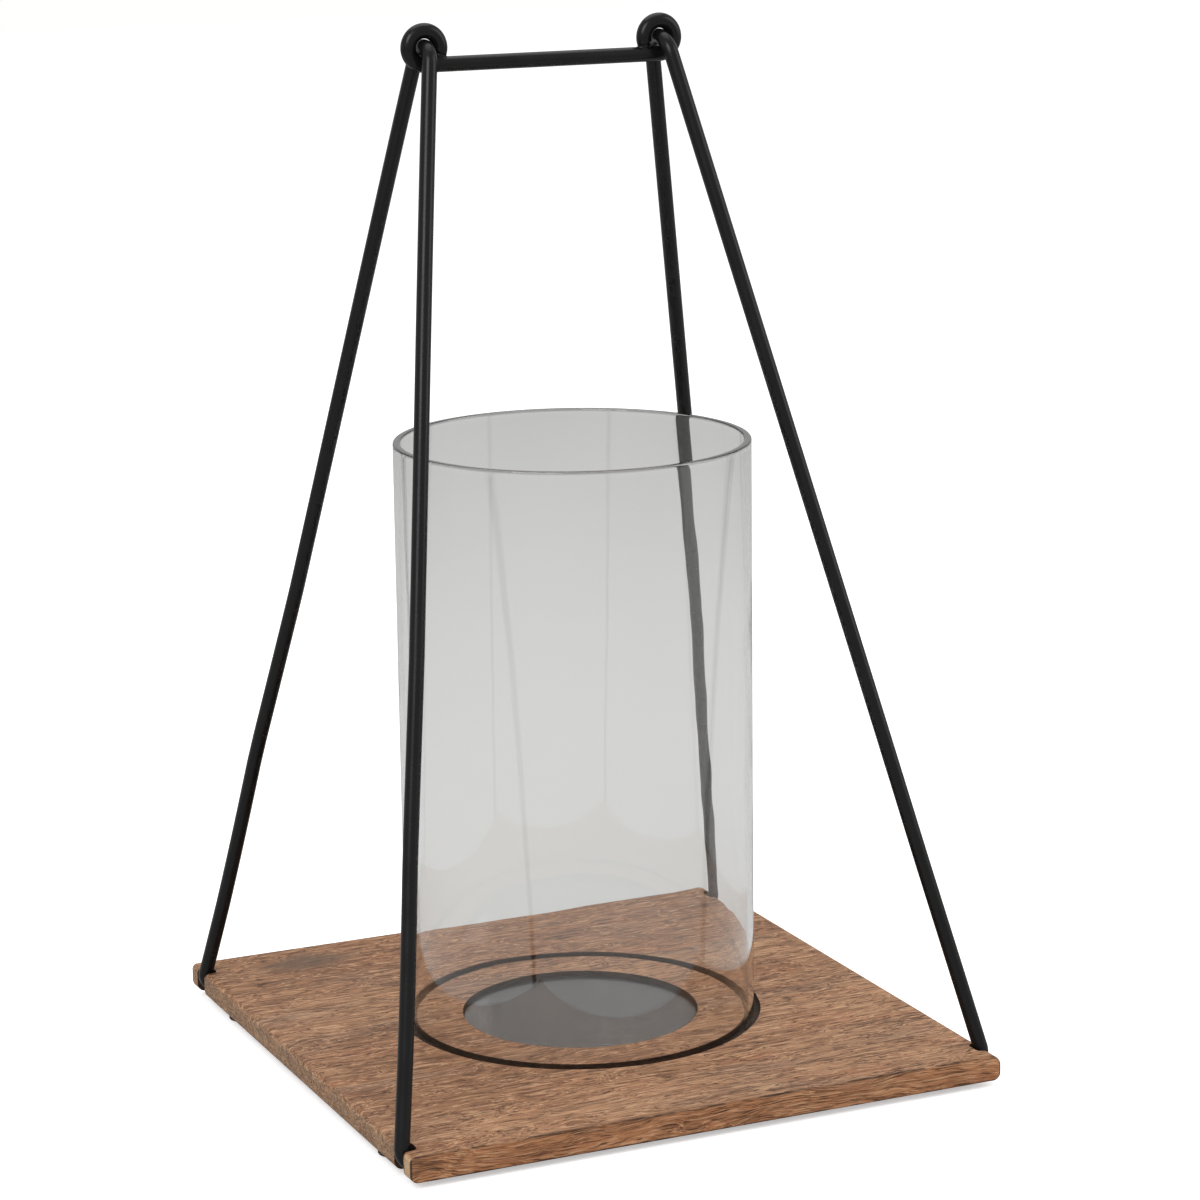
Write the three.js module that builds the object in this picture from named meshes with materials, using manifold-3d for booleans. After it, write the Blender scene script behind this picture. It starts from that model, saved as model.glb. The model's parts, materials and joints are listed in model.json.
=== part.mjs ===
// A square wooden candle lantern: a board with a glass cylinder standing in a ring groove, and two
// bent-rod side frames joined at the top by a handle bar with a curled eye at each end.
// Millimetres, +Z up, X along the handle bar, origin on the table under the middle of the board.

import * as THREE from 'three';
import { mergeVertices } from 'three/addons/utils/BufferGeometryUtils.js';
import Module from 'manifold-3d';

const wasm = await Module();
wasm.setup();

// ---------------------------------------------------------------- driving dimensions

const boardWidth = 265;
const boardDepth = 267;
const boardThickness = 11;
const boardEndRounds = {
  left: { top: 2.4, bottom: 3.5 },
  right: { top: 4.6, bottom: 3.3 },
};
const boardEdgeEase = 0.5;

const footHeight = 3;
const footDiameter = 12;
const footEase = 0.6;
const footInset = { x: 9, y: 42.5 };

const rodDiameter = 6.35;
const footBend = 6.5;
const apexBend = { left: 8.5, right: 9.6 };
const weld = { diameter: 7.3, length: 6, rootGap: 1, eyeDiameter: 4.8 };

const eyeHeight = 431.1;
const eyeSpan = 105;
const handleOffset = -10.5;
const eyeClearance = 0.55;
const eyeEndAngle = 20;

const legAtBoardTop = 130;
const legShift = -0.2;
const kneeInset = 11.1;
const railInset = 19.5;
const railDrop = 0.2;

const notchWidth = 9.8;
const notchInset = 12.4;
const notchCorner = 2.5;
const railGroove = { width: 8.6, depth: 8.3 };

const glassDiameter = 151;
const glassWall = 2.2;
const glassHeight = 254;
const glassSeatDepth = 3;
const glassRim = { wall: 3.2, height: 1.5, taper: 60, ease: 0.5 };
const ringGroove = { inner: 142.4, outer: 156.6 };

const plateDiameter = 101.4;
const plateThickness = 1;
const plateDrop = 2;

const strap = { length: 30, width: 10, thickness: 1.2, corner: 2, fromMiddle: 48, screwSpacing: 20 };
const screw = { head: 5.4, headHeight: 1, shank: 3, length: 9, tip: 2.5, slot: 0.8 };

const gap = 0.3;
const roundSides = 96;
const smallSides = 16;
const rodSides = 12;
const bendStep = Math.PI / 12;

// ---------------------------------------------------------------- values that follow

const rodRadius = rodDiameter / 2;
const boardTop = footHeight + boardThickness;
const railX = boardWidth / 2 - railInset;
const railZ = footHeight + rodRadius + railDrop;
const kneeY = boardDepth / 2 - kneeInset;
const eyeRadius = rodDiameter + eyeClearance;
const barZ = eyeHeight - eyeRadius;
const notchY = boardDepth / 2 - notchInset;
const cutPast = boardWidth / 2 + 5;
const leftEyeX = handleOffset - eyeSpan / 2;
const rightEyeX = handleOffset + eyeSpan / 2;
const strapTop = footHeight - gap;

// ---------------------------------------------------------------- materials

const finish = (color, roughness, metalness) =>
  new THREE.MeshStandardMaterial({ color, roughness, metalness });

const wood = finish(0x9b6f4f, 0.6, 0);
const blackCoat = finish(0x1c1c1d, 0.45, 0.2);
const darkPlate = finish(0x55524f, 0.5, 0.6);
const zinc = finish(0x9a9a96, 0.35, 0.9);
const rubber = finish(0x181818, 0.85, 0);
const clearGlass = finish(0xe4e8e6, 0.03, 0);
clearGlass.transparent = true;
clearGlass.opacity = 0.3;

// ---------------------------------------------------------------- solids

function toSolid(geometry) {
  geometry.deleteAttribute('normal');
  geometry.deleteAttribute('uv');
  const merged = mergeVertices(geometry, 1e-4);
  return new wasm.Manifold(new wasm.Mesh({
    numProp: 3,
    vertProperties: new Float32Array(merged.attributes.position.array),
    triVerts: new Uint32Array(merged.index.array),
  }));
}

function toGeometry(solid) {
  const { vertProperties, triVerts } = solid.getMesh();
  const geometry = new THREE.BufferGeometry();
  geometry.setAttribute('position', new THREE.BufferAttribute(vertProperties, 3));
  geometry.setIndex(new THREE.BufferAttribute(triVerts, 1));
  geometry.computeVertexNormals();
  return geometry;
}

// A block between its lowest and highest corners.
function block(low, high) {
  const size = high.map((value, axis) => value - low[axis]);
  const middle = high.map((value, axis) => (value + low[axis]) / 2);
  return new THREE.BoxGeometry(...size).translate(...middle);
}

// A profile of [radius, height] points turned round the Z axis.
function turned(profile, sides) {
  const points = profile.map(([radius, height]) => new THREE.Vector2(radius, height));
  return new THREE.LatheGeometry(points, sides).rotateX(Math.PI / 2);
}

function disc(diameter, low, high, sides) {
  const radius = diameter / 2;
  return turned([[0, low], [radius, low], [radius, high], [0, high]], sides);
}

function named(name, geometry, material) {
  const mesh = new THREE.Mesh(geometry, material);
  mesh.name = name;
  return mesh;
}

// ---------------------------------------------------------------- bent rods

// A path through fixed stations, with one sweep step from each station to the next.
class StationPath extends THREE.Curve {
  constructor(stations) {
    super();
    this.stations = stations;
  }

  getPoint(t, target = new THREE.Vector3()) {
    const last = this.stations.length - 1;
    const place = Math.min(Math.max(t, 0), 1) * last;
    const index = Math.min(Math.floor(place), last - 1);
    return target.lerpVectors(this.stations[index], this.stations[index + 1], place - index);
  }

  getUtoTmapping(u) {
    return u;
  }
}

function sweptRod(stations) {
  const outline = [];
  for (let side = 0; side < rodSides; side += 1) {
    const angle = (side / rodSides) * 2 * Math.PI;
    outline.push(new THREE.Vector2(rodRadius * Math.cos(angle), rodRadius * Math.sin(angle)));
  }
  return new THREE.ExtrudeGeometry(new THREE.Shape(outline), {
    steps: stations.length - 1,
    extrudePath: new StationPath(stations),
  });
}

// Stations of a rod that runs straight between corners and is bent to a radius at each of them.
function bentStations(first, corners, last) {
  const points = [first, ...corners.map((corner) => corner.point), last];
  const stations = [first];
  corners.forEach(({ point, bend }, index) => {
    const back = points[index].clone().sub(point).normalize();
    const ahead = points[index + 2].clone().sub(point).normalize();
    const half = back.angleTo(ahead) / 2;
    const turn = Math.PI - 2 * half;
    const toCentre = back.clone().add(ahead).normalize().multiplyScalar(bend / Math.sin(half));
    const centre = point.clone().add(toCentre);
    const spoke = point.clone().addScaledVector(back, bend / Math.tan(half)).sub(centre);
    const axis = ahead.clone().cross(back).normalize();
    const steps = Math.ceil(turn / bendStep);
    for (let step = 0; step <= steps; step += 1) {
      const swung = spoke.clone().applyAxisAngle(axis, (turn * step) / steps);
      stations.push(swung.add(centre));
    }
  });
  stations.push(last);
  return stations;
}

// ---------------------------------------------------------------- the board

function boardBlank() {
  const half = boardWidth / 2 - boardEdgeEase;
  const height = boardThickness - 2 * boardEdgeEase;
  const { left, right } = boardEndRounds;
  const corners = [[1, 0, right.bottom], [1, 1, right.top], [-1, 1, left.top], [-1, 0, left.bottom]];
  const outline = new THREE.Shape();
  corners.forEach(([side, up, round], index) => {
    const radius = round - boardEdgeEase;
    const z = up ? height - radius : radius;
    const start = (index - 1) * (Math.PI / 2);
    outline.absarc(side * (half - radius), z, radius, start, start + Math.PI / 2);
  });
  const blank = new THREE.ExtrudeGeometry(outline, {
    depth: boardDepth - 2 * boardEdgeEase,
    bevelThickness: boardEdgeEase,
    bevelSize: boardEdgeEase,
    bevelSegments: 2,
    curveSegments: 6,
  });
  blank.translate(0, boardEdgeEase, boardEdgeEase - boardDepth / 2);
  blank.rotateX(Math.PI / 2);
  return blank.translate(0, 0, footHeight);
}

// The slot that lets a leg down through the end of the board. Its inner wall is the leg's stop.
function legNotch(side, end) {
  const stop = legAtBoardTop - Math.abs(legShift) - rodRadius - 2 * gap;
  const half = notchWidth / 2;
  const outline = new THREE.Shape();
  outline.moveTo(cutPast, -half);
  outline.lineTo(cutPast, half);
  outline.absarc(stop + notchCorner, half - notchCorner, notchCorner, Math.PI / 2, Math.PI);
  outline.absarc(stop + notchCorner, notchCorner - half, notchCorner, Math.PI, Math.PI * 1.5);
  const cutter = new THREE.ExtrudeGeometry(outline, {
    depth: boardThickness + 2,
    bevelEnabled: false,
    curveSegments: 5,
  });
  cutter.rotateZ(side > 0 ? 0 : Math.PI);
  return cutter.translate(0, end * notchY, footHeight - 1);
}

// The routed channel under the board: along the end, and out to the notch at each corner.
function railChannel(side) {
  const low = footHeight - 1;
  const high = footHeight + railGroove.depth;
  const half = railGroove.width / 2;
  const [inner, outer] = [side * railX - half, side * railX + half];
  const [near, far] = [notchY - notchWidth / 2, notchY + notchWidth / 2];
  const [left, right] = side < 0 ? [-cutPast, -railX] : [railX, cutPast];
  return [
    block([inner, -far, low], [outer, far, high]),
    block([left, near, low], [right, far, high]),
    block([left, -far, low], [right, -near, high]),
  ];
}

function ringCutter() {
  const inner = ringGroove.inner / 2;
  const outer = ringGroove.outer / 2;
  const low = boardTop - glassSeatDepth;
  const high = boardTop + 1;
  return turned([[inner, low], [outer, low], [outer, high], [inner, high], [inner, low]], roundSides);
}

function baseBoard() {
  const recessDepth = plateDrop + plateThickness + gap;
  const cutters = [
    ringCutter(),
    disc(plateDiameter + 2 * gap, boardTop - recessDepth, boardTop + 1, roundSides),
  ];
  for (const side of [-1, 1]) {
    cutters.push(...railChannel(side));
    for (const end of [-1, 1]) {
      cutters.push(legNotch(side, end));
    }
  }
  for (const { x, y } of screwPlaces()) {
    const pilot = disc(screw.shank + 2 * gap, footHeight - 1, footHeight + screw.length, smallSides);
    cutters.push(pilot.translate(x, y, 0));
  }
  const board = cutters.reduce((solid, cutter) => solid.subtract(toSolid(cutter)), toSolid(boardBlank()));
  return named('base_board', toGeometry(board), wood);
}

// ---------------------------------------------------------------- what stands on the board

function candlePlate() {
  const high = boardTop - plateDrop;
  const plate = disc(plateDiameter, high - plateThickness, high, roundSides);
  return named('candle_plate', plate, darkPlate);
}

function glassCylinder() {
  const outer = glassDiameter / 2;
  const inner = outer - glassWall;
  const lip = outer - glassRim.wall;
  const low = boardTop - glassSeatDepth + gap;
  const high = low + glassHeight;
  const profile = [
    [inner + glassRim.ease, low],
    [outer - glassRim.ease, low],
    [outer, low + glassRim.ease],
    [outer, high - glassRim.ease],
    [outer - glassRim.ease, high],
    [lip + glassRim.ease, high],
    [lip, high - glassRim.ease],
    [lip, high - glassRim.height],
    [inner, high - glassRim.taper],
    [inner, low + glassRim.ease],
    [inner + glassRim.ease, low],
  ];
  return named('glass_cylinder', turned(profile, roundSides), clearGlass);
}

// ---------------------------------------------------------------- side frames

// One closed loop of rod: two legs from a rounded apex, feet turned in, and a rail under the board.
function sideFrame(name, side, eyeX, topBend) {
  const legX = side * legAtBoardTop + legShift;
  const lean = (legX - eyeX) / (eyeHeight - boardTop);
  const kneeX = legX + lean * (boardTop - railZ);
  const foot = new THREE.Vector3(kneeX, 0, railZ);
  const spine = new THREE.Vector3(eyeX, 0, eyeHeight).sub(foot);
  const arcHeight = spine.length() - topBend;
  const splay = Math.atan2(kneeY, arcHeight) - Math.asin(topBend / Math.hypot(arcHeight, kneeY));
  const apex = foot.clone().add(spine.setLength(kneeY / Math.tan(splay)));
  const corner = (x, y) => ({ point: new THREE.Vector3(x, y, railZ), bend: footBend });
  const corners = [
    corner(side * railX, -kneeY),
    corner(kneeX, -kneeY),
    { point: apex, bend: topBend },
    corner(kneeX, kneeY),
    corner(side * railX, kneeY),
  ];
  const railEnd = (end) => new THREE.Vector3(side * railX, (end * weld.rootGap) / 2, railZ);
  const rod = toSolid(sweptRod(bentStations(railEnd(-1), corners, railEnd(1))));
  const bead = toSolid(weldBead().translate(side * railX, 0, railZ));
  return named(name, toGeometry(rod.add(bead)), blackCoat);
}

// The dressed ring of weld that closes the rail.
function weldBead() {
  const half = weld.length / 2;
  const rim = rodRadius - 0.1;
  const crown = weld.diameter / 2;
  const flat = half / 2;
  const profile = [[0, -half], [rim, -half], [crown, -flat], [crown, flat], [rim, half], [0, half]];
  return turned(profile, smallSides).rotateX(Math.PI / 2);
}

// ---------------------------------------------------------------- handle bar

// Stations round one eye, from the bar's underside round the outside to where the end meets the bar.
function eyeStations(centreX, side) {
  const first = -Math.PI / 2;
  const last = Math.PI + THREE.MathUtils.degToRad(eyeEndAngle);
  const steps = Math.ceil((last - first) / bendStep);
  const stations = [];
  for (let step = 0; step <= steps; step += 1) {
    const angle = first + ((last - first) * step) / steps;
    const x = centreX + side * eyeRadius * Math.cos(angle);
    stations.push(new THREE.Vector3(x, 0, eyeHeight + eyeRadius * Math.sin(angle)));
  }
  return stations;
}

function handleBar() {
  const left = eyeStations(leftEyeX, -1).reverse();
  const right = eyeStations(rightEyeX, 1);
  let bar = toSolid(sweptRod([...left, ...right]));
  for (const [eyeX, inward] of [[leftEyeX, 1], [rightEyeX, -1]]) {
    const bead = new THREE.SphereGeometry(weld.eyeDiameter / 2, 12, 8);
    bead.translate(eyeX + inward * eyeRadius, 0, barZ + rodRadius);
    bar = bar.add(toSolid(bead));
  }
  return named('handle_bar', toGeometry(bar), blackCoat);
}

// ---------------------------------------------------------------- fixings and feet

function strapPlaces() {
  return [-1, 1].flatMap((side) => [-1, 1].map((end) => ({
    name: `${side < 0 ? 'left' : 'right'}_${end < 0 ? 'front' : 'back'}`,
    x: side * railX,
    y: end * strap.fromMiddle,
  })));
}

function screwPlaces() {
  return strapPlaces().flatMap(({ name, x, y }) => [-1, 1].map((step) => ({
    name: `${name}_${step * x < 0 ? 'inner' : 'outer'}`,
    x: x + (step * strap.screwSpacing) / 2,
    y,
  })));
}

// A countersunk wood screw driven up from the strap's underside, made wider for the hole it needs.
function screwBody(widen, length) {
  const low = strapTop - strap.thickness;
  const shank = screw.shank / 2 + widen;
  const neck = low + screw.headHeight;
  const profile = [
    [0, low - widen],
    [screw.head / 2 + widen, low - widen],
    [screw.head / 2 + widen, low],
    [shank, neck],
    [shank, low + length - screw.tip],
    [0, low + length],
  ];
  return toSolid(turned(profile, smallSides));
}

function railStrap({ name, x, y }) {
  const halfLength = strap.length / 2 - strap.corner;
  const halfWidth = strap.width / 2 - strap.corner;
  const outline = new THREE.Shape();
  outline.absarc(halfLength, -halfWidth, strap.corner, -Math.PI / 2, 0);
  outline.absarc(halfLength, halfWidth, strap.corner, 0, Math.PI / 2);
  outline.absarc(-halfLength, halfWidth, strap.corner, Math.PI / 2, Math.PI);
  outline.absarc(-halfLength, -halfWidth, strap.corner, Math.PI, Math.PI * 1.5);
  const blank = new THREE.ExtrudeGeometry(outline, {
    depth: strap.thickness,
    bevelEnabled: false,
    curveSegments: 4,
  });
  let solid = toSolid(blank.translate(0, 0, strapTop - strap.thickness));
  for (const step of [-1, 1]) {
    const hole = screwBody(gap, screw.length).translate([(step * strap.screwSpacing) / 2, 0, 0]);
    solid = solid.subtract(hole);
  }
  return named(`rail_strap_${name}`, toGeometry(solid.translate([x, y, 0])), zinc);
}

function strapScrew({ name, x, y }) {
  const low = strapTop - strap.thickness;
  const halfSlot = screw.slot / 2;
  const slot = block([-screw.head, -halfSlot, low - 1], [screw.head, halfSlot, low + halfSlot]);
  const solid = screwBody(0, screw.length).subtract(toSolid(slot)).translate([x, y, 0]);
  return named(`strap_screw_${name}`, toGeometry(solid), zinc);
}

function foot(side, end) {
  const radius = footDiameter / 2;
  const high = footHeight - gap;
  const profile = [[0, 0], [radius - footEase, 0], [radius, footEase], [radius, high], [0, high]];
  const pad = turned(profile, smallSides * 2);
  pad.translate(side * (boardWidth / 2 - footInset.x), end * (boardDepth / 2 - footInset.y), 0);
  return named(`foot_${side < 0 ? 'left' : 'right'}_${end < 0 ? 'front' : 'back'}`, pad, rubber);
}

// ---------------------------------------------------------------- assembly

const base = new THREE.Group();
base.add(baseBoard(), candlePlate());
strapPlaces().forEach((place) => base.add(railStrap(place)));
screwPlaces().forEach((place) => base.add(strapScrew(place)));
for (const side of [-1, 1]) {
  for (const end of [-1, 1]) {
    base.add(foot(side, end));
  }
}

const frames = new THREE.Group();
frames.add(
  sideFrame('left_frame', -1, leftEyeX, apexBend.left),
  sideFrame('right_frame', 1, rightEyeX, apexBend.right),
  handleBar(),
);

const lantern = new THREE.Group();
lantern.add(base, frames, glassCylinder());

export default lantern;
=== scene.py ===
"""The looks of a wooden candle lantern round its CAD frame: board, glass, bent rods and handle."""

import json
import math

import bmesh
import bpy
from mathutils import Matrix, Vector, noise


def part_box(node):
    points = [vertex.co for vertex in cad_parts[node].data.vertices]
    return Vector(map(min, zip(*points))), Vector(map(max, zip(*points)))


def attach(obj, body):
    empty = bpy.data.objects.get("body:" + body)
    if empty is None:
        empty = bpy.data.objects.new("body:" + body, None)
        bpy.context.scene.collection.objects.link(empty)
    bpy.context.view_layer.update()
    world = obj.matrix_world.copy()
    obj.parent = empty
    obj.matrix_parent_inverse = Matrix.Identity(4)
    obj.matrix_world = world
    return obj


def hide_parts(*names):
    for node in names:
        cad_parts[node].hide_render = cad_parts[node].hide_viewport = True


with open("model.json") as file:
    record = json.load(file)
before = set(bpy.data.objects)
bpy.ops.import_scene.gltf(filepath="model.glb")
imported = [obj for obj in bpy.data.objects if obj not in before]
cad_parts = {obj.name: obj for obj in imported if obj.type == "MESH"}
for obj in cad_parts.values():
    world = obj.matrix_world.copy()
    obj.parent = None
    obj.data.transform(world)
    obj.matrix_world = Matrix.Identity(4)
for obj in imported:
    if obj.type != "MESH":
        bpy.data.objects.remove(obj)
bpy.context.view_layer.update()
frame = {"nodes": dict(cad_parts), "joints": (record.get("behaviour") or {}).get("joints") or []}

# ---------------------------------------------------------------- driving dimensions, in metres

MM = 0.001

ROD_RADIUS = 3.175 * MM
KNEE_BEND = 6.5 * MM
KNEE_Y = 122.4 * MM
LEG_AT_BOARD_TOP = 130 * MM
LEG_SHIFT = -0.2 * MM
APEX_BEND = {"left": 8.5 * MM, "right": 9.6 * MM}
APEX_LIFT = 0.35 * MM
# How far each leg's foot is set along X, and how far the leg bows that way a third of the way up.
LEG_SWAY = {
    "left": {"front": (-0.7 * MM, 1.2 * MM), "back": (-0.1 * MM, 1.6 * MM)},
    "right": {"front": (0.3 * MM, -0.1 * MM), "back": (0.9 * MM, 0.3 * MM)},
}
BOW_TO_UNIT = 27 / 4
# The sway sets in over these distances from the rail and from the apex.
SWAY_SETS_IN = {"along_x": 12 * MM, "along_y": 20 * MM}
EYE_SPAN = 105 * MM
EYE_RADIUS = 6.9 * MM
EYE_END = math.radians(18)
EYE_WELD = {"radius": 2.5 * MM, "stretch": (1.15, 1.0, 0.9), "reach": 0.97, "rise": 0.2 * MM}
RAIL_WELD = {"crown": 0.5 * MM, "half_length": 3.2 * MM, "ripple": 0.08 * MM, "ripples": 16}

BOARD_LEFT_ROUND = {"top": 2.4 * MM, "bottom": 3.5 * MM}
BOARD_RIGHT_ROUND = {"top": 4.6 * MM, "bottom": 3.3 * MM}
BOARD_EASE = 0.5 * MM
LIP_EASE = 0.35 * MM
NOTCH = {"width": 9.8 * MM, "inset": 12.4 * MM, "wall": 126.025 * MM, "corner": 2.5 * MM}
CHANNEL = {"width": 8.6 * MM, "depth": 8.3 * MM}
RING = {"inner": 71.2 * MM, "outer": 78.3 * MM, "depth": 3 * MM}
RECESS = {"radius": 51 * MM, "depth": 3.3 * MM}

GLASS_WALL = 2.2 * MM
GLASS_RIM = {"wall": 3.2 * MM, "height": 1.5 * MM, "taper": 60 * MM, "ease": 0.7 * MM}
# The outside is drawn in a hair for the waves, which set in over these distances from the ends.
GLASS_WAVES = {"wave": 0.035 * MM, "ripple": 0.012 * MM, "draw_in": 0.05 * MM}
GLASS_WAVES_SET_IN = {"foot": 10 * MM, "rim": 6 * MM}

ROD_SIDES = 40
ROUND_SIDES = 256
FOOT_SIDES = 64
GLASS_ROWS = 120
PLATE_RINGS = 12
BEND_STEP = math.radians(4)
FRAME_STEP = 12 * MM
HANDLE_STEP = 3 * MM
WELD_STEPS = 20
HANDLE_VOXEL = 0.3 * MM
SHARP_ANGLE = math.radians(35)

# ---------------------------------------------------------------- places that the frame gives

joints = {joint["name"]: joint for joint in frame["joints"]}
eye_left = Vector(joints["handle_tilt"]["pos_m"])
eye_right = eye_left + Vector((EYE_SPAN, 0, 0))
rail_left = Vector(joints["left_frame_lean"]["pos_m"])
rail_right = Vector(joints["right_frame_lean"]["pos_m"])
board_low, board_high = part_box("base_board")
plate_low, plate_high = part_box("candle_plate")
glass_low, glass_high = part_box("glass_cylinder")

# ---------------------------------------------------------------- mesh helpers


def piece(name, vertices, faces, material, body, slot, *cad_nodes):
    """A smooth mesh in the row frame that rides on a body and stands for the CAD nodes named."""
    mesh = bpy.data.meshes.new(name)
    mesh.from_pydata([tuple(v) for v in vertices], [], faces)
    mesh.validate()
    made = bpy.data.objects.new(name, mesh)
    bpy.context.scene.collection.objects.link(made)
    finished(made, material, body, slot, *cad_nodes)


def finished(made, material, body, slot, *cad_nodes):
    """Gives a mesh object its material and its body, and hides the CAD nodes that it stands for.
    The slot is not used.
    """
    if not made.data.materials:
        made.data.materials.append(material)
    for face in made.data.polygons:
        face.use_smooth = True
    made.data.set_sharp_from_angle(angle=SHARP_ANGLE)
    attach(made, body)
    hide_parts(*cad_nodes)


def rounded(corners, closed=True, step=BEND_STEP):
    """A path through (point, radius) corners, with an arc at each corner that has a radius."""
    path = []
    count = len(corners)
    for index, (point, radius) in enumerate(corners):
        ends = not closed and index in (0, count - 1)
        if ends or radius == 0:
            path.append(Vector(point))
            continue
        here = Vector(point)
        back = (Vector(corners[index - 1][0]) - here).normalized()
        ahead = (Vector(corners[(index + 1) % count][0]) - here).normalized()
        half = back.angle(ahead) / 2
        centre = here + (back + ahead).normalized() * (radius / math.sin(half))
        first = here + back * (radius / math.tan(half)) - centre
        last = here + ahead * (radius / math.tan(half)) - centre
        turn = math.pi - 2 * half
        steps = max(2, math.ceil(turn / step))
        for k in range(steps + 1):
            a, b = math.sin(turn * (1 - k / steps)), math.sin(turn * k / steps)
            path.append(centre + (first * a + last * b) / math.sin(turn))
    return path


def sweep(path, radii, closed):
    """Vertices and faces of a round rod along a path, with gently domed ends where it is open."""
    count = len(path)
    normal = Vector((0, 1, 0)).cross(path[1] - path[0])
    if normal.length < 1e-9:
        normal = Vector((1, 0, 0))
    vertices, faces = [], []
    for index, point in enumerate(path):
        before = path[index - 1] if closed or index else path[0]
        after = path[(index + 1) % count] if closed or index < count - 1 else path[-1]
        along = (after - before).normalized()
        normal = (normal - along * normal.dot(along)).normalized()
        side = along.cross(normal)
        for k in range(ROD_SIDES):
            angle = 2 * math.pi * k / ROD_SIDES
            spoke = normal * math.cos(angle) + side * math.sin(angle)
            vertices.append(point + spoke * radii[index])
    rings = count if closed else count - 1
    for ring in range(rings):
        a, b = ring * ROD_SIDES, ((ring + 1) % count) * ROD_SIDES
        for k in range(ROD_SIDES):
            m = (k + 1) % ROD_SIDES
            faces.append((a + k, a + m, b + m, b + k))
    if not closed:
        faces.append(tuple(reversed(range(ROD_SIDES))))
        faces.append(tuple(range((count - 1) * ROD_SIDES, count * ROD_SIDES)))
    return vertices, faces


def subdivided(path, longest):
    """The path with straight runs cut so that no step is longer than asked."""
    points = []
    for a, b in zip(path, path[1:]):
        steps = max(1, math.ceil((b - a).length / longest))
        points.extend(a.lerp(b, k / steps) for k in range(steps))
    points.append(path[-1])
    return points


def lathe(profile, sides, closed):
    """Vertices and faces of a (radius, height) profile turned round Z.

    An open profile starts and ends on the axis.
    """
    vertices, faces, rings = [], [], []
    for radius, height in profile:
        if radius < 1e-7:
            rings.append([len(vertices)] * sides)
            vertices.append(Vector((0, 0, height)))
            continue
        rings.append(list(range(len(vertices), len(vertices) + sides)))
        for k in range(sides):
            angle = 2 * math.pi * k / sides
            vertices.append(Vector((radius * math.cos(angle), radius * math.sin(angle), height)))
    pairs = zip(rings, rings[1:] + rings[:1]) if closed else zip(rings, rings[1:])
    for low, high in pairs:
        for k in range(sides):
            m = (k + 1) % sides
            corners = (low[k], low[m], high[m], high[k])
            faces.append(tuple(dict.fromkeys(corners)))
    return vertices, faces


def plain_mesh(name, vertices, faces):
    """A scratch mesh object, outward facing, for a boolean."""
    mesh = bpy.data.meshes.new(name)
    mesh.from_pydata([tuple(v) for v in vertices], [], faces)
    turned = bmesh.new()
    turned.from_mesh(mesh)
    bmesh.ops.remove_doubles(turned, verts=turned.verts, dist=1e-7)
    bmesh.ops.recalc_face_normals(turned, faces=turned.faces)
    turned.to_mesh(mesh)
    turned.free()
    made = bpy.data.objects.new(name, mesh)
    bpy.context.scene.collection.objects.link(made)
    return made


def prism(name, outline, across, start, end):
    """A closed outline of 2D points between two depths, placed by across(point, depth)."""
    count = len(outline)
    vertices = [across(p, depth) for depth in (start, end) for p in outline]
    faces = [tuple(range(count)), tuple(reversed(range(count, 2 * count)))]
    for k in range(count):
        m = (k + 1) % count
        faces.append((k, k + count, m + count, m))
    return plain_mesh(name, vertices, faces)


def evaluated(made):
    """Applies an object's modifiers to its mesh."""
    graph = bpy.context.evaluated_depsgraph_get()
    made.data = bpy.data.meshes.new_from_object(made.evaluated_get(graph))
    made.modifiers.clear()
    return made


# ---------------------------------------------------------------- material helpers


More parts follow.
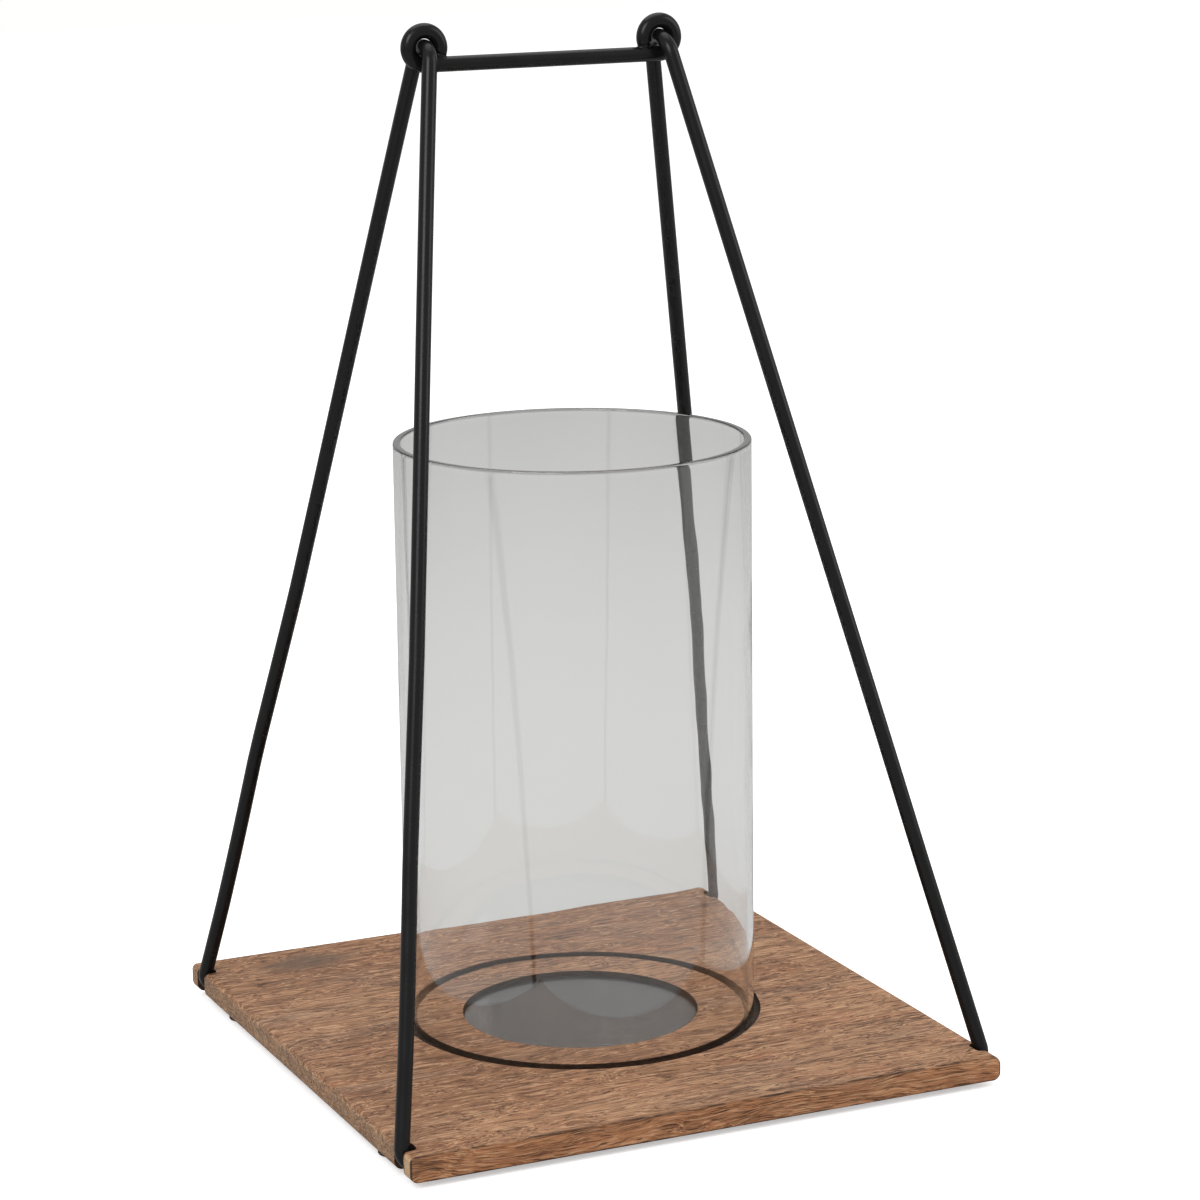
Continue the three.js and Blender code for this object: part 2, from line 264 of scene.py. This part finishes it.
class Graph:
    """A material's node tree, with short methods for the nodes used here."""

    def __init__(self, name):
        self.material = bpy.data.materials.new(name)
        self.material.use_nodes = True
        self.tree = self.material.node_tree
        self.tree.nodes.clear()
        coordinates = self.node("ShaderNodeTexCoord").outputs
        self.place = coordinates["Object"]
        self.normal = coordinates["Normal"]

    def node(self, kind, inputs=None, **settings):
        made = self.tree.nodes.new(kind)
        for key, value in settings.items():
            setattr(made, key, value)
        for key, value in (inputs or {}).items():
            if isinstance(value, bpy.types.NodeSocket):
                self.tree.links.new(value, made.inputs[key])
            else:
                made.inputs[key].default_value = value
        return made

    def math(self, operation, a, b=0.0, c=0.0):
        return self.node("ShaderNodeMath", {0: a, 1: b, 2: c}, operation=operation).outputs[0]

    def split(self, vector):
        """The X, Y and Z of a vector."""
        return self.node("ShaderNodeSeparateXYZ", {0: vector}).outputs

    def scaled(self, vector, scale, offset=(0, 0, 0)):
        """The vector times a scale on each axis, plus an offset."""
        inputs = {0: vector, 1: scale, 2: offset}
        return self.node("ShaderNodeVectorMath", inputs, operation="MULTIPLY_ADD").outputs[0]

    def noise(self, vector, scale, detail=2.0, roughness=0.5, offset=(0, 0, 0)):
        """Noise whose features are 1 / scale long on each axis."""
        inputs = {
            "Vector": self.scaled(vector, scale, offset),
            "Scale": 1.0,
            "Detail": detail,
            "Roughness": roughness,
        }
        return self.node("ShaderNodeTexNoise", inputs).outputs["Fac"]

    def step(self, value, low, high, to_low=0.0, to_high=1.0):
        """A smooth step of a value between two limits."""
        inputs = {0: value, 1: low, 2: high, 3: to_low, 4: to_high}
        made = self.node("ShaderNodeMapRange", inputs, interpolation_type="SMOOTHSTEP")
        return made.outputs[0]

    def mix(self, share, a, b):
        """Two colours, mixed by a share."""
        made = self.node("ShaderNodeMix", data_type="RGBA")
        for socket, value in ((made.inputs[0], share), (made.inputs[6], a), (made.inputs[7], b)):
            if isinstance(value, bpy.types.NodeSocket):
                self.tree.links.new(value, socket)
            elif isinstance(value, tuple):
                socket.default_value = (*value, 1.0)
            else:
                socket.default_value = value
        return made.outputs[2]

    def bump(self, height, distance):
        inputs = {"Height": height, "Distance": distance, "Strength": 1.0}
        return self.node("ShaderNodeBump", inputs).outputs["Normal"]

    def principled(self, **inputs):
        """A Principled shader. Words in the input names are joined by underscores."""
        named = {}
        for key, value in inputs.items():
            socket = key.replace("_", " ")
            named[socket] = (*value, 1.0) if isinstance(value, tuple) else value
        return self.node("ShaderNodeBsdfPrincipled", named).outputs[0]

    def output(self, shader):
        self.node("ShaderNodeOutputMaterial", {"Surface": shader})
        return self.material


# ---------------------------------------------------------------- materials

WOOD = {
    "brown": (0.235, 0.112, 0.056),
    "tan": (0.335, 0.178, 0.095),
    "pale": (0.58, 0.36, 0.215),
    "dark": (0.09, 0.038, 0.019),
    "red": (0.28, 0.105, 0.047),
    "grey": (0.20, 0.13, 0.09),
    "pore": (0.045, 0.02, 0.011),
    "orange": (0.40, 0.155, 0.058),
    "end": (0.30, 0.205, 0.13),
    "bare": (0.60, 0.40, 0.24),
    "edge": (0.03, 0.016, 0.012),
    "shade_and_scorch": (0.012, 0.008, 0.006),
    "smudge": (0.075, 0.055, 0.042),
}
STAIN = {"x": -85 * MM, "y": 110 * MM, "long": 34 * MM, "wide": 15 * MM}
EDGE_DARKENING = {"starts": 1.0 * MM, "full": 0.35 * MM}
BARE_CORNER = {"starts": 7 * MM, "full": 6 * MM}
RIM_SHADE = {"starts": 1.6 * MM, "full": 0.3 * MM}


def wood_grain(g):
    """Places in the wood, drawn sideways so that the grain wanders as it runs along X."""
    sway = g.math("SUBTRACT", g.noise(g.place, (14, 40, 40), detail=2), 0.5)
    flutter = g.math("SUBTRACT", g.noise(g.place, (60, 120, 120), detail=1, offset=(4, 2, 7)), 0.5)
    stray = g.math("MULTIPLY_ADD", flutter, 0.16, sway)
    drift = g.node("ShaderNodeCombineXYZ", {0: 0.0, 1: stray, 2: stray}).outputs[0]
    return g.scaled(drift, (0, 0.02, 0.02), g.place)


def edge_closeness(g):
    """How near a place is to the board's upright edges, and to the long ones at top and bottom."""
    near = []
    for axis, value in enumerate(g.split(g.place)):
        middle = (board_low[axis] + board_high[axis]) / 2
        half = (board_high[axis] - board_low[axis]) / 2
        away = g.math("ABSOLUTE", g.math("SUBTRACT", value, middle))
        near.append(g.step(away, half - EDGE_DARKENING["starts"], half - EDGE_DARKENING["full"]))
    x, y, z = near
    return g.math("MINIMUM", x, y), g.math("MINIMUM", y, z)


def stained_wood(name, routed):
    """Brown-stained hardwood with the grain along X: soft bands, wandering fibres and open pores.

    The sides are more orange than the top and the ends greyer. One smudge lies near the left back
    corner, the left end is bare by the front corner, and the wood is darker along the edges.
    A routed face is darkened almost to black: painted shade in the slots, groove and recess,
    over a little real scorching from the cutter.
    """
    g = Graph(name)
    grain = wood_grain(g)
    bands = g.noise(grain, (4, 30, 36), detail=3, roughness=0.6)
    rosy = g.noise(grain, (16, 60, 70), detail=2, offset=(7, 3, 1))
    grey = g.noise(grain, (9, 40, 45), detail=2, offset=(11.3, 4.2, 6))
    streaks = g.noise(grain, (16, 170, 330), detail=2, roughness=0.6, offset=(6, 8, 3))
    fibres = g.noise(grain, (42, 600, 1500), detail=4, roughness=0.74, offset=(2, 9, 4))
    pores = g.noise(grain, (110, 900, 3000), detail=1, roughness=0.4, offset=(5, 1, 8))
    facing = g.split(g.normal)
    to_end = g.step(g.math("ABSOLUTE", facing[0]), 0.5, 0.95)
    to_side = g.step(g.math("ABSOLUTE", facing[1]), 0.5, 0.95)

    colour = g.mix(g.step(bands, 0.35, 0.65), WOOD["brown"], WOOD["tan"])
    colour = g.mix(g.math("MULTIPLY", to_side, 0.5), colour, WOOD["orange"])
    colour = g.mix(g.step(rosy, 0.5, 0.72, 0, 0.5), colour, WOOD["red"])
    colour = g.mix(g.step(grey, 0.52, 0.75, 0, 0.6), colour, WOOD["grey"])
    colour = g.mix(g.step(streaks, 0.48, 0.7, 0, 0.5), colour, WOOD["dark"])
    colour = g.mix(g.math("MULTIPLY", to_end, 0.5), colour, WOOD["end"])
    colour = g.mix(g.step(fibres, 0.51, 0.64, 0, 0.65), colour, WOOD["pale"])
    colour = g.mix(g.step(fibres, 0.48, 0.36, 0, 0.95), colour, WOOD["dark"])
    crowding = g.step(g.noise(grain, (18, 70, 90), offset=(3, 3, 3)), 0.3, 0.7, -0.05, 0.05)
    pores = g.step(g.math("ADD", pores, crowding), 0.61, 0.69)
    colour = g.mix(g.math("MULTIPLY", pores, 0.75), colour, WOOD["pore"])

    spread = (1 / STAIN["long"], 1 / STAIN["wide"], 0)
    smudge = g.scaled(grain, spread, (-STAIN["x"] / STAIN["long"], -STAIN["y"] / STAIN["wide"], 0))
    smudge = g.node("ShaderNodeVectorMath", {0: smudge}, operation="LENGTH").outputs["Value"]
    colour = g.mix(g.step(smudge, 1.0, 0.2, 0, 0.7), colour, WOOD["smudge"])

    depth = g.split(g.place)[1]
    front = board_low.y
    corner = g.step(depth, front + BARE_CORNER["starts"], front + BARE_CORNER["full"])
    left = g.step(facing[0], -0.5, -0.9)
    colour = g.mix(g.math("MULTIPLY", g.math("MULTIPLY", corner, left), 0.6), colour, WOOD["bare"])

    # Darker along the edges: nearly solid on the upright ones, patchy along the long ones.
    upright, lengthwise = edge_closeness(g)
    patchy = g.step(g.noise(g.place, (110, 110, 110), detail=2), 0.35, 0.6, 0.15, 0.8)
    edge = g.math("MAXIMUM", g.math("MULTIPLY", upright, 0.9), g.math("MULTIPLY", lengthwise, patchy))
    colour = g.mix(edge, colour, WOOD["edge"])
    # Painted shade: routed faces are darkened almost to black, over a little real scorching from
    # the cutter.
    if routed:
        colour = g.mix(0.9, colour, WOOD["shade_and_scorch"])

    roughness = g.step(fibres, 0.3, 0.7, 0.55, 0.7)
    height = g.math("MULTIPLY_ADD", pores, -1.0, g.math("MULTIPLY", fibres, 0.5))
    normal = g.bump(height, 0.15 * MM)
    shader = g.principled(
        Base_Color=colour, Roughness=roughness, Normal=normal, Specular_IOR_Level=0.2
    )
    return g.output(shader)


def black_coat():
    """Satin black powder coat with a faint orange-peel surface."""
    g = Graph("black_coat")
    cloud = g.noise(g.place, (60, 60, 60), detail=3)
    peel = g.noise(g.place, (1300, 1300, 1300), detail=2)
    colour = g.mix(cloud, (0.004, 0.004, 0.0043), (0.0065, 0.0065, 0.007))
    roughness = g.step(cloud, 0.3, 0.7, 0.22, 0.3)
    normal = g.bump(peel, 0.03 * MM)
    shader = g.principled(
        Base_Color=colour, Roughness=roughness, Normal=normal, Specular_IOR_Level=0.2
    )
    return g.output(shader)


def dark_plate():
    """Dark coated metal with a soft sheen, faint clouding and a fine speckle."""
    g = Graph("dark_plate")
    cloud = g.noise(g.place, (35, 35, 35), detail=4)
    speckle = g.noise(g.place, (1500, 1500, 1500), detail=2)
    colour = g.mix(g.step(cloud, 0.3, 0.7), (0.02, 0.018, 0.016), (0.028, 0.025, 0.022))
    roughness = g.step(cloud, 0.3, 0.7, 0.16, 0.24)
    normal = g.bump(speckle, 0.01 * MM)
    shader = g.principled(
        Base_Color=colour, Roughness=roughness, Normal=normal, Specular_IOR_Level=0.5
    )
    return g.output(shader)


def clear_glass():
    """Clear soda glass with a little waviness and a rim tinted dark grey. Lamps shine through it.

    The rim's grey is partly a ground edge and partly a painted dark reflection.
    """
    g = Graph("clear_glass")
    waves = g.noise(g.place, (38, 38, 14), detail=2)
    height = g.split(g.place)[2]
    top = glass_high.z
    # Painted reflection: the top of the rim is tinted dark grey for the dark studio it mirrors,
    # over a ground edge.
    rim = g.step(height, top - RIM_SHADE["starts"], top - RIM_SHADE["full"])
    colour = g.mix(rim, (0.99, 0.99, 0.985), (0.22, 0.225, 0.22))
    shader = g.principled(
        Base_Color=colour,
        Roughness=0.0,
        IOR=1.5,
        Transmission_Weight=1.0,
        Normal=g.bump(waves, 0.1 * MM),
    )
    path = g.node("ShaderNodeLightPath").outputs
    open_share = g.math("MAXIMUM", path["Is Shadow Ray"], path["Is Diffuse Ray"])
    clear = g.node("ShaderNodeBsdfTransparent", {"Color": (0.9, 0.9, 0.9, 1.0)}).outputs[0]
    both = g.node("ShaderNodeMixShader", {0: open_share, 1: shader, 2: clear}).outputs[0]
    return g.output(both)


def zinc():
    """Bright zinc plate with a spangled, faintly scratched surface."""
    g = Graph("zinc")
    grains = g.node("ShaderNodeTexVoronoi", {"Vector": g.place, "Scale": 900.0}).outputs["Color"]
    scratches = g.noise(g.place, (2500, 150, 300), detail=3)
    colour = g.mix(0.12, (0.55, 0.56, 0.56), grains)
    roughness = g.step(scratches, 0.3, 0.7, 0.26, 0.42)
    normal = g.bump(scratches, 0.02 * MM)
    shader = g.principled(Base_Color=colour, Roughness=roughness, Metallic=1.0, Normal=normal)
    return g.output(shader)


def rubber():
    """Matte black rubber with grit and patches of dust."""
    g = Graph("rubber")
    grit = g.noise(g.place, (2200, 2200, 2200), detail=3)
    dust = g.noise(g.place, (400, 400, 400), detail=4)
    colour = g.mix(g.step(dust, 0.5, 0.75), (0.016, 0.016, 0.016), (0.06, 0.057, 0.052))
    roughness = g.step(grit, 0.3, 0.7, 0.75, 0.95)
    normal = g.bump(grit, 0.05 * MM)
    return g.output(g.principled(Base_Color=colour, Roughness=roughness, Normal=normal))


wood = stained_wood("stained_wood", routed=False)
shaded_routed_wood = stained_wood("shaded_routed_wood", routed=True)
coat = black_coat()
plate_finish = dark_plate()
glass = clear_glass()
zinc_plate = zinc()
foot_rubber = rubber()

# ---------------------------------------------------------------- the board


def board_blank():
    """The board before it is cut: a profile with rounded ends, extruded from front to back."""
    low, high = board_low, board_high
    outline = rounded([
        ((low.x, low.z), BOARD_LEFT_ROUND["bottom"]),
        ((high.x, low.z), BOARD_RIGHT_ROUND["bottom"]),
        ((high.x, high.z), BOARD_RIGHT_ROUND["top"]),
        ((low.x, high.z), BOARD_LEFT_ROUND["top"]),
    ], step=math.radians(9))
    blank = prism("board", outline, lambda p, y: Vector((p[0], y, p[1])), low.y, high.y)
    ease = blank.modifiers.new("ease", "BEVEL")
    ease.limit_method = "ANGLE"
    ease.angle_limit = math.radians(60)
    ease.width = BOARD_EASE
    ease.segments = 4
    return evaluated(blank)


def notch_cutter(side, end):
    """The slot for a leg. Its inner wall is the leg's stop."""
    middle = end * (board_high.y - NOTCH["inset"])
    half = NOTCH["width"] / 2
    past = board_high.x + 5 * MM
    outline = rounded([
        ((side * past, middle - half), 0),
        ((side * past, middle + half), 0),
        ((side * NOTCH["wall"], middle + half), NOTCH["corner"]),
        ((side * NOTCH["wall"], middle - half), NOTCH["corner"]),
    ], step=math.radians(10))
    below, above = board_low.z - MM, board_high.z + MM
    return prism("notch", outline, lambda p, z: Vector((p[0], p[1], z)), below, above)


def channel_cutters(side):
    """The routed channel under the board for one rail, and its two ways out to the notches."""
    half = CHANNEL["width"] / 2
    rail = side * abs(rail_right.x)
    inner, outer = sorted((rail - half, rail + half))
    middle = board_high.y - NOTCH["inset"]
    near, far = middle - NOTCH["width"] / 2, middle + NOTCH["width"] / 2
    way = sorted((rail, side * (board_high.x + 5 * MM)))
    below, above = board_low.z - MM, board_low.z + CHANNEL["depth"]
    spans = [((inner, outer), (-far, far)), (way, (near, far)), (way, (-far, -near))]
    cutters = []
    for (x0, x1), (y0, y1) in spans:
        outline = [(x0, y0), (x1, y0), (x1, y1), (x0, y1)]
        cutters.append(prism("channel", outline, lambda p, z: Vector((*p, z)), below, above))
    return cutters


def ring_cutter():
    """The groove that the glass stands in."""
    low, high = board_high.z - RING["depth"], board_high.z + MM
    profile = rounded([
        ((RING["inner"], low), 0.6 * MM),
        ((RING["outer"], low), 0.6 * MM),
        ((RING["outer"], high), 0),
        ((RING["inner"], high), 0),
    ], step=math.radians(30))
    return plain_mesh("ring", *lathe(profile, ROUND_SIDES, closed=True))


def recess_cutter():
    """The recess for the candle plate."""
    low, high = board_high.z - RECESS["depth"], board_high.z + MM
    profile = [(0, low), (RECESS["radius"], low), (RECESS["radius"], high), (0, high)]
    return plain_mesh("recess", *lathe(profile, ROUND_SIDES, closed=False))


def base_board():
    """The blank with its groove, recess, notches and channels cut, and its lips eased."""
    board = board_blank()
    cutters = bpy.data.collections.new("cutters")
    made = [ring_cutter(), recess_cutter()]
    for side in (-1, 1):
        made += channel_cutters(side)
        made += [notch_cutter(side, end) for end in (-1, 1)]
    board.data.materials.append(wood)
    for cutter in made:
        cutter.data.materials.append(shaded_routed_wood)
        bpy.context.scene.collection.objects.unlink(cutter)
        cutters.objects.link(cutter)
    bpy.context.scene.collection.children.link(cutters)
    cut = board.modifiers.new("cut", "BOOLEAN")
    cut.operation = "DIFFERENCE"
    cut.operand_type = "COLLECTION"
    cut.collection = cutters
    cut.solver = "EXACT"
    cut.use_self = True
    cut.material_mode = "TRANSFER"
    lips = board.modifiers.new("lips", "BEVEL")
    lips.limit_method = "ANGLE"
    lips.angle_limit = math.radians(50)
    lips.width = LIP_EASE
    lips.segments = 2
    evaluated(board)
    for cutter in made:
        bpy.data.objects.remove(cutter)
    bpy.data.collections.remove(cutters)
    finished(board, wood, "base", "stained_wood", "base_board")
    weighted = board.modifiers.new("weighted", "WEIGHTED_NORMAL")
    weighted.keep_sharp = False


base_board()

# ---------------------------------------------------------------- plate and glass


def candle_plate():
    """A thin pressed plate with softened edges."""
    low, high = plate_low.z, plate_high.z
    radius = plate_high.x
    edge = rounded([
        ((0, low), 0),
        ((radius, low), 0.3 * MM),
        ((radius, high), 0.35 * MM),
        ((0, high), 0),
    ], closed=False, step=math.radians(15))
    rings = [(radius * k / PLATE_RINGS, high) for k in range(PLATE_RINGS - 1, 0, -1)]
    profile = [tuple(p) for p in edge[:-1]] + rings + [(0, high)]
    piece(
        "candle_plate_pressed", *lathe(profile, ROUND_SIDES, closed=False),
        plate_finish, "base", "dark_plate", "candle_plate",
    )


def glass_cylinder():
    """The blown wall, a little uneven inside and out, with a cut and softened rim."""
    outer = glass_high.x
    inner = outer - GLASS_WALL
    lip = outer - GLASS_RIM["wall"]
    low, high = glass_low.z, glass_high.z
    corners = [
        ((inner, low), GLASS_RIM["ease"]),
        ((outer, low), GLASS_RIM["ease"]),
        ((outer, high), GLASS_RIM["ease"]),
        ((lip, high), GLASS_RIM["ease"]),
        ((lip, high - GLASS_RIM["height"]), 0),
        ((inner, high - GLASS_RIM["taper"]), 0),
    ]
    profile = rounded(corners, step=math.radians(18))
    step = (high - low) / GLASS_ROWS
    profile = subdivided(profile + profile[:1], step)[:-1]
    vertices, faces = lathe([tuple(p) for p in profile], ROUND_SIDES, closed=True)
    for vertex in vertices:
        from_foot = (vertex.z - low) / GLASS_WAVES_SET_IN["foot"]
        from_rim = (high - vertex.z) / GLASS_WAVES_SET_IN["rim"]
        share = max(0, min(1, from_foot, from_rim))
        across = Vector((vertex.x, vertex.y, 0))
        inside = 1 if across.length < outer - GLASS_WALL / 2 else 0
        wave = noise.noise(Vector((vertex.x * 26, vertex.y * 26, vertex.z * 42 + 9 * inside)))
        ripple = noise.noise(Vector((vertex.x * 40, vertex.y * 40, vertex.z * 90 + 5 * inside)))
        swell = (GLASS_WAVES["wave"] * wave + GLASS_WAVES["ripple"] * ripple) * share
        swell -= 0 if inside else GLASS_WAVES["draw_in"]
        vertex.xy += across.normalized().xy * swell
    piece("glass_blown", vertices, faces, glass, "glass", "clear_glass", "glass_cylinder")


candle_plate()
glass_cylinder()

# ---------------------------------------------------------------- bent rods


def frame_path(side, rail, eye, apex_bend):
    """The loop of one side frame: rail, feet, legs and apex, closed at the middle of the rail."""
    leg_x = side * LEG_AT_BOARD_TOP + LEG_SHIFT
    lean = (leg_x - eye.x) / (eye.z - board_high.z)
    knee_x = leg_x + lean * (board_high.z - rail.z)
    foot = Vector((knee_x, 0, rail.z))
    spine = eye + Vector((0, 0, APEX_LIFT)) - foot
    arc_height = spine.length - apex_bend
    splay = math.atan2(KNEE_Y, arc_height) - math.asin(apex_bend / math.hypot(arc_height, KNEE_Y))
    apex = foot + spine.normalized() * (KNEE_Y / math.tan(splay))
    return rounded([
        ((rail.x, 0, rail.z), 0),
        ((rail.x, -KNEE_Y, rail.z), KNEE_BEND),
        ((knee_x, -KNEE_Y, rail.z), KNEE_BEND),
        (apex, apex_bend),
        ((knee_x, KNEE_Y, rail.z), KNEE_BEND),
        ((rail.x, KNEE_Y, rail.z), KNEE_BEND),
    ])


def hand_bent(point, rail, eye, legs):
    """The point moved along X as the real legs stray: a foot set aside and a low bow."""
    foot_shift, bow = legs["front"] if point.y < 0 else legs["back"]
    height = (point.z - rail.z) / (eye.z - rail.z)
    sway = foot_shift * (1 - height) + BOW_TO_UNIT * bow * height * (1 - height) ** 2
    off_rail = min(1, abs(point.x - rail.x) / SWAY_SETS_IN["along_x"])
    off_apex = min(1, abs(point.y) / SWAY_SETS_IN["along_y"])
    return point + Vector((sway * off_rail * off_apex, 0, 0))


def side_frame(name, side, rail, eye, apex_bend, legs):
    """One side frame swept round its loop, with close steps and a bead over the rail's weld."""
    corner_path = frame_path(side, rail, eye, apex_bend)
    path = subdivided(corner_path + corner_path[:1], FRAME_STEP)[:-1]
    path = [hand_bent(point, rail, eye, legs) for point in path]
    weld_reach = RAIL_WELD["half_length"] * 1.3
    dense = []
    for point in path:
        if (point - rail).length > 0.5 * MM:
            dense.append(point)
            continue
        for k in range(-WELD_STEPS, WELD_STEPS + 1):
            dense.append(rail + Vector((0, -weld_reach * k / WELD_STEPS, 0)))
    radii = []
    for point in dense:
        offset = (point - rail).y / RAIL_WELD["half_length"]
        on_weld = abs(offset) < 1 and abs(point.x - rail.x) < MM
        crown = (1 - offset**2) ** 0.5 * RAIL_WELD["crown"] if on_weld else 0
        ripple = RAIL_WELD["ripple"] * math.sin(offset * RAIL_WELD["ripples"]) if on_weld else 0
        radii.append(ROD_RADIUS + crown + ripple)
    vertices, faces = sweep(dense, radii, closed=True)
    piece(f"{name}_rod", vertices, faces, coat, name, "black_coat", name)


def eye_arc(eye, side):
    """Half of the handle's path: round one eye from its cut end to the bar."""
    first = math.pi + EYE_END
    last = -math.pi / 2
    steps = math.ceil((first - last) / BEND_STEP)
    points = []
    for k in range(steps + 1):
        angle = first + (last - first) * k / steps
        turn = Vector((side * math.cos(angle), 0, math.sin(angle)))
        points.append(eye + turn * EYE_RADIUS)
    return points


def handle_bar():
    """The bar and its two curled eyes, blended where the cut ends are welded down."""
    arc_left = eye_arc(eye_left, -1)
    arc_right = eye_arc(eye_right, 1)
    path = subdivided(arc_left + arc_right[::-1], HANDLE_STEP)
    vertices, faces = sweep(path, [ROD_RADIUS] * len(path), closed=False)
    bar = plain_mesh("handle", vertices, faces)
    merged = bmesh.new()
    merged.from_mesh(bar.data)
    rise = EYE_WELD["rise"] - EYE_RADIUS + ROD_RADIUS
    stretch = Matrix.Diagonal((*EYE_WELD["stretch"], 1.0))
    for eye, inward in ((eye_left, 1), (eye_right, -1)):
        place = eye + Vector((inward * EYE_RADIUS * EYE_WELD["reach"], 0, rise))
        spot = Matrix.Translation(place) @ stretch
        bmesh.ops.create_icosphere(merged, subdivisions=3, radius=EYE_WELD["radius"], matrix=spot)
    merged.to_mesh(bar.data)
    merged.free()
    remesh = bar.modifiers.new("remesh", "REMESH")
    remesh.mode = "VOXEL"
    remesh.voxel_size = HANDLE_VOXEL
    smooth = bar.modifiers.new("smooth", "SMOOTH")
    smooth.factor = 0.5
    smooth.iterations = 4
    evaluated(bar)
    bar.name = "handle_bar_rod"
    finished(bar, coat, "handle", "black_coat", "handle_bar")


side_frame("left_frame", -1, rail_left, eye_left, APEX_BEND["left"], LEG_SWAY["left"])
side_frame("right_frame", 1, rail_right, eye_right, APEX_BEND["right"], LEG_SWAY["right"])
handle_bar()

# ---------------------------------------------------------------- feet and fixings


def rubber_foot(name):
    """A moulded pad: softened rim and a shallow dish underneath."""
    low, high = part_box(name)
    centre = (low + high) / 2
    radius = (high.x - low.x) / 2
    tall = high.z
    dish = 0.35 * MM
    profile = rounded([
        ((0, dish), 0),
        ((radius * 0.5, dish), 0.3 * MM),
        ((radius * 0.68, 0), 0.3 * MM),
        ((radius, 0), 0.8 * MM),
        ((radius * 0.97, tall), 0.3 * MM),
        ((0, tall), 0),
    ], closed=False, step=math.radians(12))
    vertices, faces = lathe([tuple(p) for p in profile], FOOT_SIDES, closed=False)
    vertices = [v + Vector((centre.x, centre.y, 0)) for v in vertices]
    piece(f"{name}_pad", vertices, faces, foot_rubber, "base", "rubber", name)


def eased_metal(name):
    """A CAD fixing, with its edges broken."""
    node = frame["nodes"][name]
    node.data.materials.clear()
    node.data.materials.append(zinc_plate)
    ease = node.modifiers.new("ease", "BEVEL")
    ease.limit_method = "ANGLE"
    ease.angle_limit = math.radians(40)
    ease.width = 0.12 * MM
    ease.segments = 2


for name in frame["nodes"]:
    if name.startswith("foot_"):
        rubber_foot(name)
    elif name.startswith(("rail_strap_", "strap_screw_")):
        eased_metal(name)

# ---------------------------------------------------------------- camera, floor and light

CAMERA_PLACE = (-0.6291, -1.4172, 0.5494)
CAMERA_YAW = -0.4256
CAMERA_PITCH = 0.2169
CAMERA_ROLL = -0.0127
CAMERA_LENS = 112.45
CAMERA_SENSOR = 36
CAMERA_SHIFT = (-0.0022, -0.0235)

LAMP_AIM = (0, 0, 0.2)
FLOOR_HALF = 6
ROOM_LIGHT = {"seen": 1.0, "as_light": 0.7}


def camera():
    """The photo's point of view."""
    made = bpy.data.objects.new("camera", bpy.data.cameras.new("camera"))
    bpy.context.scene.collection.objects.link(made)
    turn = Matrix.Rotation(CAMERA_YAW, 3, "Z")
    tilt = Matrix.Rotation(math.pi / 2 - CAMERA_PITCH, 3, "X")
    roll = Matrix.Rotation(CAMERA_ROLL, 3, "Z")
    made.matrix_world = Matrix.Translation(CAMERA_PLACE) @ (turn @ tilt @ roll).to_4x4()
    made.data.sensor_width = CAMERA_SENSOR
    made.data.lens = CAMERA_LENS
    made.data.shift_x, made.data.shift_y = CAMERA_SHIFT
    made.data.clip_end = 50
    bpy.context.scene.camera = made


def softbox(name, place, size, power):
    """A rectangular lamp that points at the lantern."""
    light = bpy.data.lights.new(name, "AREA")
    light.shape = "RECTANGLE"
    light.size, light.size_y = size
    light.energy = power
    made = bpy.data.objects.new(name, light)
    bpy.context.scene.collection.objects.link(made)
    made.location = place
    made.rotation_euler = (Vector(LAMP_AIM) - Vector(place)).to_track_quat("-Z", "Y").to_euler()


def floor():
    """A pale table top that runs out of sight, paler where the camera looks straight at it."""
    half = FLOOR_HALF
    corners = [(-half, -half, 0), (half, -half, 0), (half, half, 0), (-half, half, 0)]
    mesh = bpy.data.meshes.new("floor")
    mesh.from_pydata(corners, [], [(0, 1, 2, 3)])
    made = bpy.data.objects.new("floor", mesh)
    bpy.context.scene.collection.objects.link(made)
    g = Graph("floor")
    straight = g.node("ShaderNodeLightPath").outputs["Is Camera Ray"]
    colour = g.mix(straight, (0.52, 0.52, 0.515), (0.93, 0.93, 0.93))
    glow = g.math("MULTIPLY", straight, 0.45)
    shader = g.principled(
        Base_Color=colour, Roughness=0.9, Emission_Color=(1.0, 1.0, 1.0), Emission_Strength=glow
    )
    mesh.materials.append(g.output(shader))


def studio():
    """A white room, bright where the camera looks straight at it and softer through glass."""
    world = bpy.data.worlds.new("studio")
    bpy.context.scene.world = world
    world.use_nodes = True
    tree = world.node_tree
    tree.nodes.clear()
    path = tree.nodes.new("ShaderNodeLightPath")
    strength = tree.nodes.new("ShaderNodeMapRange")
    strength.inputs["To Min"].default_value = ROOM_LIGHT["as_light"]
    strength.inputs["To Max"].default_value = ROOM_LIGHT["seen"]
    room = tree.nodes.new("ShaderNodeBackground")
    room.inputs["Color"].default_value = (1.0, 0.998, 0.992, 1.0)
    out = tree.nodes.new("ShaderNodeOutputWorld")
    tree.links.new(path.outputs["Is Camera Ray"], strength.inputs["Value"])
    tree.links.new(strength.outputs[0], room.inputs["Strength"])
    tree.links.new(room.outputs[0], out.inputs["Surface"])
    softbox("key", (-1.5, -1.3, 1.6), (1.2, 1.2), 28)
    softbox("fill", (1.6, -1.0, 1.1), (1.0, 1.4), 10)
    softbox("top", (0.1, 0.5, 2.0), (1.6, 1.6), 14)


camera()
floor()
studio()
bpy.context.scene.view_settings.view_transform = "Standard"
